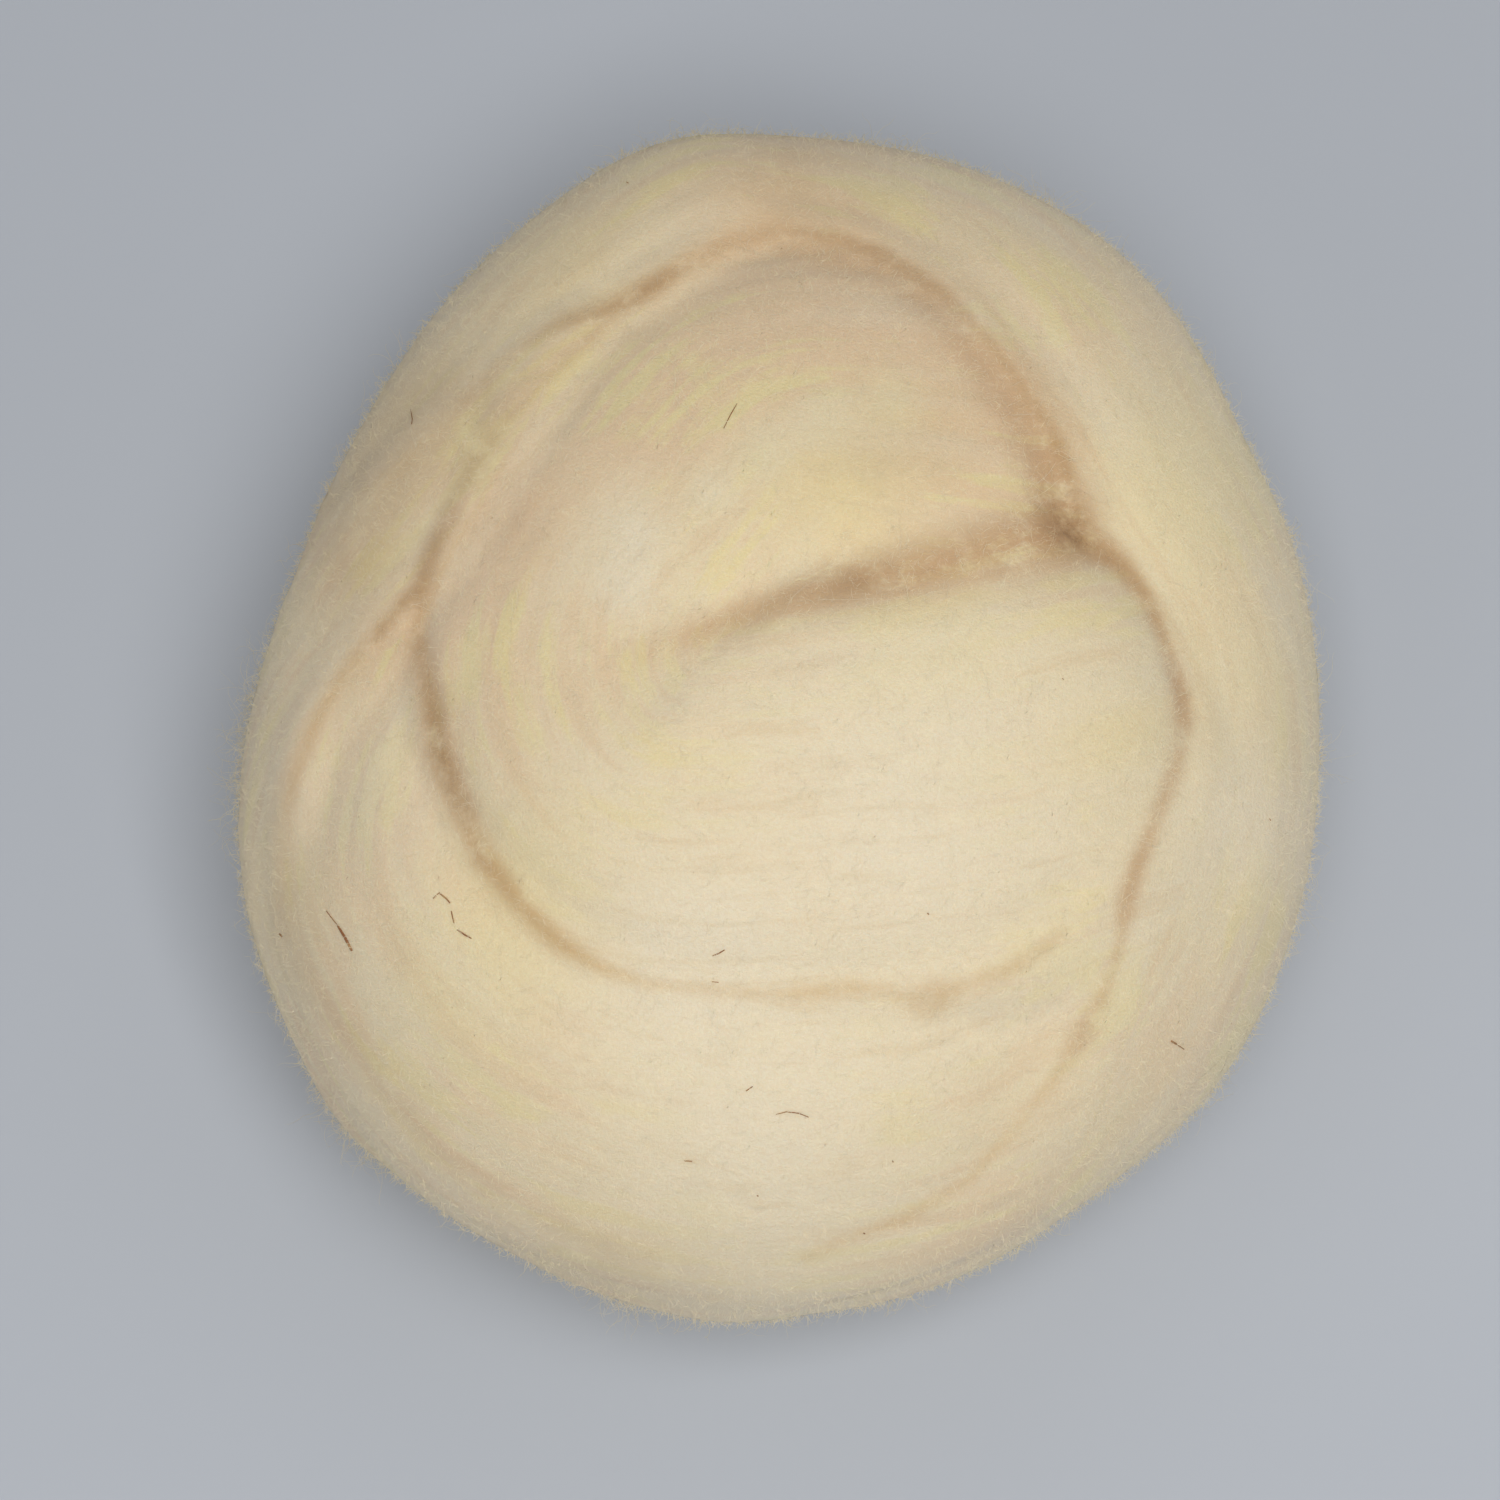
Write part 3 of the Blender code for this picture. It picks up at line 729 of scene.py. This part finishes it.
def woolColour(tree, lock, strand):
    # cream wool with pink, yellow and pale streaks and patches, the patches partly painted shade and light,
    # and painted shade in brown, ochre and rosy in its creases and hollows, near black in the deepest
    place = tree.nodes.new("ShaderNodeTexCoord").outputs["Object"]
    pink, yellow, pale = attribute(tree, "tint")
    brown, ochre, rosy = attribute(tree, "paintedShade")
    patch = noise(tree, place, wool["patchScale"], 3)
    other = noise(tree, place, wool["otherScale"], 3)
    streak = maths(tree, "MULTIPLY", strand, wool["streakShare"])
    patch = maths(tree, "ADD", maths(tree, "MULTIPLY", patch, 1 - wool["streakShare"]), streak)
    other = maths(tree, "SUBTRACT", maths(tree, "MULTIPLY", other, 1 - wool["streakShare"]), streak)
    blushing = shown(tree, patch, "blushing", "blush")
    sunny = shown(tree, other, "sunny", "sun")
    # pink, yellow and pale: the wool's own tone from the noise, and from the patches partly painted shade
    # (pinker) and painted light (paler)
    colour = mixColour(tree, maths(tree, "MAXIMUM", pink, blushing), wool["cream"], wool["pink"])
    colour = mixColour(tree, maths(tree, "MAXIMUM", yellow, sunny), colour, wool["yellow"])
    colour = mixColour(tree, pale, colour, wool["pale"])
    colour = mixColour(tree, shown(tree, lock, "locking", "locks"), colour, wool["pale"])
    colour = mixColour(tree, shown(tree, strand, "shading", "shaded"), colour, wool["shade"])
    rough = noise(tree, place, wool["roughScale"], 4, 0.7)
    ragged = ramp(tree, rough, *wool["ragged"])
    streaky = maths(tree, "ADD", rough, maths(tree, "MULTIPLY", strand, wool["shadeStreaks"]))
    softly = ramp(tree, streaky, *wool["softly"])
    # painted shade: rosy, ochre and brown, ragged by noise, and near black where the brown is strongest
    browned = maths(tree, "MULTIPLY", brown, ragged)
    colour = mixColour(tree, maths(tree, "MULTIPLY", rosy, softly), colour, wool["rosy"])
    colour = mixColour(tree, maths(tree, "MULTIPLY", ochre, ragged), colour, wool["ochre"])
    colour = mixColour(tree, browned, colour, wool["brown"])
    colour = mixColour(tree, shown(tree, browned, "darkening", "darkest"), colour, wool["dark"])
    return place, colour, brown


def finishWool(mat, colour, normal=None, sheen=0):
    p = mat.node_tree.nodes["Principled BSDF"]
    feed(mat.node_tree, p.inputs["Base Color"], colour)
    if normal:
        feed(mat.node_tree, p.inputs["Normal"], normal)
    p.inputs["Roughness"].default_value = wool["roughness"]
    p.inputs["Specular IOR Level"].default_value = wool["specular"]
    p.inputs["Sheen Weight"].default_value = sheen
    p.inputs["Sheen Roughness"].default_value = wool["sheenRoughness"]
    return p


def combedWool():
    mat = bpy.data.materials.new("combedWool")
    mat.use_nodes = True
    tree = mat.node_tree
    flow = attribute(tree, "flow")
    lock = noise(tree, stretched(tree, flow, *wool["lock"]), 1, 3)
    hair = noise(tree, stretched(tree, flow, *wool["hair"]), 1, 4, 0.7)
    strand = noise(tree, stretched(tree, flow, *wool["strand"]), 1, 4, 0.6)
    place, colour, _ = woolColour(tree, lock, strand)
    grain = noise(tree, place, wool["grainScale"], 3, 0.75)
    colour = mixColour(tree, shown(tree, grain, "graining", "grain"), colour, wool["ochre"])
    height = maths(tree, "ADD", maths(tree, "MULTIPLY", hair, wool["hairs"]), grain)
    bump = tree.nodes.new("ShaderNodeBump")
    bump.inputs["Strength"].default_value = wool["bump"]
    bump.inputs["Distance"].default_value = wool["bumpDepth"]
    feed(tree, bump.inputs["Height"], height)
    p = finishWool(mat, colour, bump.outputs[0], wool["sheen"])
    p.inputs["Subsurface Weight"].default_value = wool["subsurface"]
    p.inputs["Subsurface Radius"].default_value = wool["subsurfaceRadius"]
    p.inputs["Subsurface Scale"].default_value = wool["subsurfaceReach"]
    return mat


def looseWool():
    mat = bpy.data.materials.new("looseWool")
    mat.use_nodes = True
    tree = mat.node_tree
    shade = attribute(tree, "shade")[0]
    _, colour, brown = woolColour(tree, shade, shade)
    # fibres over painted shade keep less of their pale tip colour
    tip = maths(tree, "MULTIPLY", maths(tree, "SUBTRACT", 1, brown), wool["tips"])
    finishWool(mat, mixColour(tree, tip, colour, wool["tip"]))
    return mat


woolSkin.data.materials.append(combedWool())
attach(woolSkin, "root")
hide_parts("roving_ball")
looseFinish = looseWool()

laidFibres = {
    "count": 1300,
    "stations": 8,
    "lengths": (12, 34),
    "radii": (0.016, 0.03),
    "stray": 9,  # degrees off the strand's own way
    "proud": (0.02, 0.16),
    "sunk": 0.1,
    "sunkInCrease": 0.9,
    "inward": 0.82,  # a step on the core is shorter than the same step on the wool
    "lowest": 6,
    "seed": 20,
}
down = {
    "pieces": 3,
    "count": 23000,  # in each piece
    "stations": 3,
    "lengths": (0.6, 2.3),
    "radii": (0.035, 0.065),
    "rise": (15, 85),  # degrees off the surface
    "bend": 0.3,
    "wave": 0.1,
    "lowest": 3,
    "clump": (2.2, 0.45, 0.8),  # width, how far the tips close up, and how much higher some clumps stand
    "seed": 40,
    "shadow": False,  # so fine that the light goes through it
}
shortFuzz = {
    "pieces": 1,
    "count": 9500,
    "stations": 5,
    "lengths": (1.4, 3.8),
    "radii": (0.024, 0.042),
    "rise": (15, 75),
    "bend": 0.35,
    "wave": 0.2,
    "lowest": 3,
    "clump": (3, 0.4, 1),
    "seed": 50,
    "shadow": True,
}
longFuzz = {
    "pieces": 1,
    "count": 3000,
    "stations": 9,
    "lengths": (3, 8),
    "radii": (0.02, 0.032),
    "rise": (8, 45),
    "bend": 0.25,
    "wave": 0.45,
    "lowest": 4,
    "clump": (5, 0.2, 0),
    "seed": 60,
    "shadow": True,
}
# what all standing fibres share
standing = {
    "glow": 0.6,  # how much they are lit from above
    "swing": 0.9,  # radians off the strand's own way
    "shortness": 1.5,  # more than 1 makes more of them short
    "droop": 0.7,
    "curl": (4, 9),
    "start": 6,
    "sunk": 0.12,
    "taper": 0.55,
    "floorGap": 0.3,
    "scatter": 0.3,  # of the clumps' edges
}


def rootsOnSkin(rng, count, lowest):
    # feet spread evenly over the wound form, none near the floor
    pick = unit(rng.normal(size=(4 * count, 3))) * coreRadii
    spread = np.linalg.norm(pick / coreRadii**2, axis=1)
    pick = pick[rng.random(len(pick)) < spread / spread.max()]
    place, = onSkin(pick, skinPlaces)
    return pick[place[:, 2] > lowest][:count]


def layFibres():
    # long fibres that lie along the strand
    rng = np.random.default_rng(laidFibres["seed"])
    feet = rootsOnSkin(rng, laidFibres["count"], laidFibres["lowest"])
    roots = feet
    count, stations = len(feet), laidFibres["stations"]
    length = rng.uniform(*laidFibres["lengths"], count)
    stray = np.radians(rng.normal(0, laidFibres["stray"], count))
    waver = np.radians(rng.normal(0, 2 * laidFibres["stray"], (count, 3)))
    way = rng.choice((-1, 1), count)
    rise = rng.uniform(*laidFibres["proud"], count)
    places, normals, creases = [], [], []
    for k in range(stations):
        place, normal, crease, flow = onSkin(feet, skinPlaces, skinNormals, skinCrease, skinFlow)
        places.append(place)
        normals.append(unit(normal))
        creases.append(crease)
        t = k / (stations - 1)
        angle = stray + waver[:, 0] * math.sin(3 * t) + waver[:, 1] * math.cos(5 * t)
        angle += waver[:, 2] * math.sin(9 * t)
        out = squareOut(feet, coreRadii)
        ahead = flow - out * (flow * out).sum(1)[:, None]
        ahead = unit(ahead + 1e-6) * way[:, None]
        ahead = ahead * np.cos(angle)[:, None] + np.cross(out, ahead) * np.sin(angle)[:, None]
        feet = ontoCore(feet + ahead * (length / (stations - 1) * laidFibres["inward"])[:, None])
    places, normals = np.stack(places, 1), np.stack(normals, 1)
    t = np.linspace(0, 1, stations)
    lift = rise[:, None] * np.sin(math.pi * t) - laidFibres["sunk"]
    lift -= laidFibres["sunkInCrease"] * np.stack(creases, 1)
    radius = rng.uniform(*laidFibres["radii"], count)[:, None] * np.sin(math.pi * (0.1 + 0.8 * t)) ** 0.5
    return roots, places + normals * lift[:, :, None], radius, rng.random(count)


def gather(feet, place, normal, clump, rng):
    # how far each fibre's tip is drawn towards the middle of its clump, and out
    wide, share, rise = clump
    loose = feet + rng.normal(0, standing["scatter"] * wide, feet.shape)
    _, which = np.unique((loose / wide).round().astype(int), axis=0, return_inverse=True)
    which = which.ravel()
    members = np.bincount(which)
    centre = np.stack([np.bincount(which, column) for column in place.T], 1) / members[:, None]
    lift = rng.uniform(0, 1, len(members)) ** 3 * rise
    return share * (centre[which] - place) + normal * lift[which][:, None]


def standFuzz(fuzz, feet, rng):
    # curled fibres that stand off the surface at the feet
    count = len(feet)
    place, normal, flow = onSkin(feet, skinPlaces, skinNormals, skinFlow)
    normal = unit(normal)
    ahead = flow @ turn.T
    ahead = unit(ahead - normal * (ahead * normal).sum(1)[:, None] + 1e-6)
    swing = rng.normal(0, standing["swing"], count) + rng.choice((0, math.pi), count)
    rise = np.radians(rng.uniform(*fuzz["rise"], count))
    flat = ahead * np.cos(swing)[:, None] + np.cross(normal, ahead) * np.sin(swing)[:, None]
    cross = np.cross(normal, flat)
    shortest, longest = fuzz["lengths"]
    length = shortest + rng.uniform(0, 1, count) ** standing["shortness"] * (longest - shortest)
    t = np.linspace(0, 1, fuzz["stations"])[None, :, None]
    gone = t * length[:, None, None]
    droop = rng.uniform(0, standing["droop"], count)[:, None, None]
    bend = rng.normal(0, fuzz["bend"], count)[:, None, None]
    turns = rng.uniform(*standing["curl"], count)[:, None, None] * t
    turns = turns + rng.uniform(0, standing["start"], count)[:, None, None]
    wave = fuzz["wave"] * np.sin(math.pi * t) ** 0.5
    up = np.sin(rise)[:, None, None] * gone * (1 - droop * t) + wave * np.cos(turns)
    side = bend * gone * t + wave * np.sin(turns)
    points = (place - standing["sunk"] * normal)[:, None] + flat[:, None] * np.cos(rise)[:, None, None] * gone
    points = points + cross[:, None] * side + normal[:, None] * np.maximum(up, 0)
    radius = rng.uniform(*fuzz["radii"], count)[:, None] * (1 - standing["taper"] * t[:, :, 0])
    points += gather(feet, place, normal, fuzz["clump"], rng)[:, None] * t ** 2
    points[:, :, 2] = np.maximum(points[:, :, 2], standing["floorGap"])
    return feet, points, radius, rng.random(count)


makeFibres("laidFibres", *layFibres(), looseFinish)
for name, fuzz in (("down", down), ("shortFuzz", shortFuzz), ("longFuzz", longFuzz)):
    for number in range(fuzz["pieces"]):
        rng = np.random.default_rng(fuzz["seed"] + number)
        roots = rootsOnSkin(rng, fuzz["count"], fuzz["lowest"])
        standingFibres = standFuzz(fuzz, roots, rng)
        piece = makeFibres(f"{name}{number + 1}", *standingFibres, looseFinish, standing["glow"])
        piece.visible_shadow = fuzz["shadow"]

tufts = {
    "stations": 12,
    "lengths": (3, 9),
    "radii": (0.018, 0.034),
    "rise": (20, 80),
    "bend": 0.3,
    "wave": 0.6,
    "clump": (3, 0.3, 0),
    "rim": 0.25,  # how much the wool there faces the view, at most
    "spread": 0.5,
    "seed": 70,
    # right, up, spread, count: curls that stand out at the outline
    "spots": [
        (-79, 8, 5, 60), (-83, -3, 3.5, 70), (-82, -12, 4, 30), (-69, -60, 4, 40), (-66, -64, 3, 30),
        (-24, -84, 3, 45), (-15, -87, 3, 25), (20, -86, 3, 14), (41, 81, 2, 26), (16, 89, 3, 26),
        (78, 28, 2.5, 22), (81, -5, 2, 14), (79, -24, 3, 14), (66, -60, 3, 16), (-73, 26, 4, 16),
        (-58, 52, 4, 14), (-20, 91, 4, 14),
    ],
}


def rootsOfTufts(rng):
    # feet at the outline, as it is seen, near each spot
    seen = seenAt(skinPlaces)
    onRim = np.abs(skinNormals @ viewBack) < tufts["rim"]
    chosen = []
    for right, up, spread, count in tufts["spots"]:
        away = np.hypot(seen[:, 0] - right, seen[:, 1] - up)
        near = np.flatnonzero(onRim & (away < away[onRim].min() + spread))
        chosen.append(rng.choice(near, count))
    feet = skinFeet[np.concatenate(chosen)]
    return ontoCore(feet + rng.normal(0, tufts["spread"], feet.shape))


rng = np.random.default_rng(tufts["seed"])
makeFibres("tufts", *standFuzz(tufts, rootsOfTufts(rng), rng), looseFinish, standing["glow"])

plantBits = {
    "colour": (0.27, 0.11, 0.04, 1),
    "faded": (0.42, 0.25, 0.11, 1),
    "proud": 0.12,
    "tip": 0.7,  # of the thickness
    "fadedScale": 500,
    "fading": (0.4, 0.7),
    "roughness": 0.75,
    # half the bit's thickness, then the places it runs through: right, up
    "bits": [
        (0.22, (-66.8, -29), (-65.6, -31), (-64.7, -32.8)),
        (0.07, (-68.5, -26.8), (-67.6, -28), (-66.8, -29)),
        (0.12, (-52.6, -25), (-51.7, -24.2), (-50.7, -25), (-50.1, -25.7)),
        (0.11, (-49.9, -26.9), (-49.5, -28.7)), (0.12, (-49, -29.7), (-48, -30.4), (-46.9, -31)),
        (0.1, (-10.8, -33.6), (-9.8, -33.2), (-9, -32.7)), (0.08, (-10.9, -37.5), (-9.9, -37.6)),
        (0.2, (58.1, -46.3), (58.8, -46.7)), (0.1, (58.8, -46.7), (60, -47.5)),
        (0.1, (-5.8, -53.9), (-4.8, -53.2)),
        (0.08, (-1.3, -57.4), (0.2, -57), (2.1, -57.2), (3.6, -57.8)),
        (0.13, (-15, -64.3), (-13.8, -64.4)), (0.12, (-4.1, -69.5), (-3.9, -69.6)),
        (0.1, (16.2, -64.3), (16.3, -64.5)), (0.12, (11.9, -75.1), (12.1, -75.2)),
        (0.12, (21.4, -27.2), (21.6, -27.4)), (0.13, (72.8, -13), (73, -13.2)),
        (0.13, (-23.3, 82.5), (-23.1, 82.4)), (0.16, (-75.4, -30.2), (-75.1, -30.6)),
        (0.07, (41.6, 8), (41.9, 7.8)), (0.07, (-55.7, 48.4), (-55.5, 47), (-55.6, 46.2)),
        (0.07, (-7, 49.2), (-8, 47.5), (-9, 45.5)),
    ],
}


def onBall(right, up):
    # the skin's point and normal under a seen place
    eye = Vector(np.array(middle) + viewBack * ball["viewDistance"]) * mm
    aim = Vector(np.array(middle) + viewRight * right + viewUp * up) * mm
    _, place, normal, _ = woolSkin.ray_cast(eye, (aim - eye).normalized())
    return place, normal


def makePlantBits():
    curve = bpy.data.curves.new("plantBits", "CURVE")
    curve.dimensions = "3D"
    curve.bevel_depth = mm
    curve.bevel_resolution = 1
    curve.use_fill_caps = True
    for thick, *line in plantBits["bits"]:
        spline = curve.splines.new("POLY")
        spline.points.add(len(line) - 1)
        for k, (point, seen) in enumerate(zip(spline.points, line)):
            place, normal = onBall(*seen)
            point.co = (*(place + normal * plantBits["proud"] * mm), 1)
            point.radius = thick * (1 if 0 < k < len(line) - 1 else plantBits["tip"])
    drawn = bpy.data.objects.new("plantBitsDrawn", curve)
    bpy.context.scene.collection.objects.link(drawn)
    mesh = bpy.data.meshes.new_from_object(drawn.evaluated_get(bpy.context.evaluated_depsgraph_get()))
    bpy.data.objects.remove(drawn)
    bits = bpy.data.objects.new("plantBits", mesh)
    bpy.context.scene.collection.objects.link(bits)
    mat = bpy.data.materials.new("driedPlant")
    mat.use_nodes = True
    tree = mat.node_tree
    place = tree.nodes.new("ShaderNodeTexCoord").outputs["Object"]
    p = tree.nodes["Principled BSDF"]
    fading = ramp(tree, noise(tree, place, plantBits["fadedScale"], 3), *plantBits["fading"])
    feed(tree, p.inputs["Base Color"], mixColour(tree, fading, plantBits["colour"], plantBits["faded"]))
    p.inputs["Roughness"].default_value = plantBits["roughness"]
    mesh.materials.clear()
    mesh.materials.append(mat)
    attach(bits, "root")
    print("plantBits made,", len(mesh.polygons), "faces")


makePlantBits()


stage = {
    "size": 4,  # metres either side of the middle
    "colour": (0.5, 0.53, 0.58, 1),
    "roughness": 0.9,
}


def makeStage():
    bm = bmesh.new()
    bmesh.ops.create_grid(bm, x_segments=1, y_segments=1, size=stage["size"])
    mesh = bpy.data.meshes.new("floor")
    bm.to_mesh(mesh)
    bm.free()
    floor = bpy.data.objects.new("floor", mesh)
    bpy.context.scene.collection.objects.link(floor)
    mat = bpy.data.materials.new("paleFloor")
    mat.use_nodes = True
    p = mat.node_tree.nodes["Principled BSDF"]
    p.inputs["Base Color"].default_value = stage["colour"]
    p.inputs["Roughness"].default_value = stage["roughness"]
    mesh.materials.append(mat)


makeStage()

view = {
    "frameWidth": 225,  # what the picture's width takes in at the ball's middle
    "aim": (-4.8, -2.55),  # the picture's middle from the ball's middle: right, up
    "sensor": 36,
    "nearest": 0.01,  # metres
}


def makeCamera():
    camera = bpy.data.objects.new("camera", bpy.data.cameras.new("camera"))
    bpy.context.scene.collection.objects.link(camera)
    camera.data.sensor_width = view["sensor"]
    camera.data.lens = view["sensor"] * ball["viewDistance"] / view["frameWidth"]
    camera.data.clip_start = view["nearest"]
    aim = np.array(middle) + viewRight * view["aim"][0] + viewUp * view["aim"][1]
    camera.location = Vector(aim + viewBack * ball["viewDistance"]) * mm
    camera.rotation_euler = Vector(-viewBack).to_track_quat("-Z", "Y").to_euler()
    bpy.context.scene.camera = camera


# place in metres, size in metres, watts
lights = {
    "keySoftbox": ((0.08, -0.38, 1.04), 0.5, 7.05),
    "fillSoftbox": ((0.1, 0.7, 0.8), 0.8, 0.8),
    "nearSoftbox": ((-0.6, -0.65, 0.65), 0.8, 1.1),
    "sideSoftbox": ((0.8, -0.15, 0.5), 0.6, 0.6),
}
studio = {
    "aim": (0, 0, 0.05),
    "ambient": 0.22,
}


def makeLight(name, place, size, watts):
    data = bpy.data.lights.new(name, "AREA")
    data.energy = watts
    data.size = size
    light = bpy.data.objects.new(name, data)
    bpy.context.scene.collection.objects.link(light)
    light.location = place
    light.rotation_euler = (Vector(studio["aim"]) - Vector(place)).to_track_quat("-Z", "Y").to_euler()


makeCamera()
for name, values in lights.items():
    makeLight(name, *values)
world = bpy.data.worlds.new("studio")
world.use_nodes = True
world.node_tree.nodes["Background"].inputs[0].default_value = (1, 1, 1, 1)
world.node_tree.nodes["Background"].inputs[1].default_value = studio["ambient"]
bpy.context.scene.world = world
bpy.context.scene.view_settings.view_transform = "Standard"

print("done")
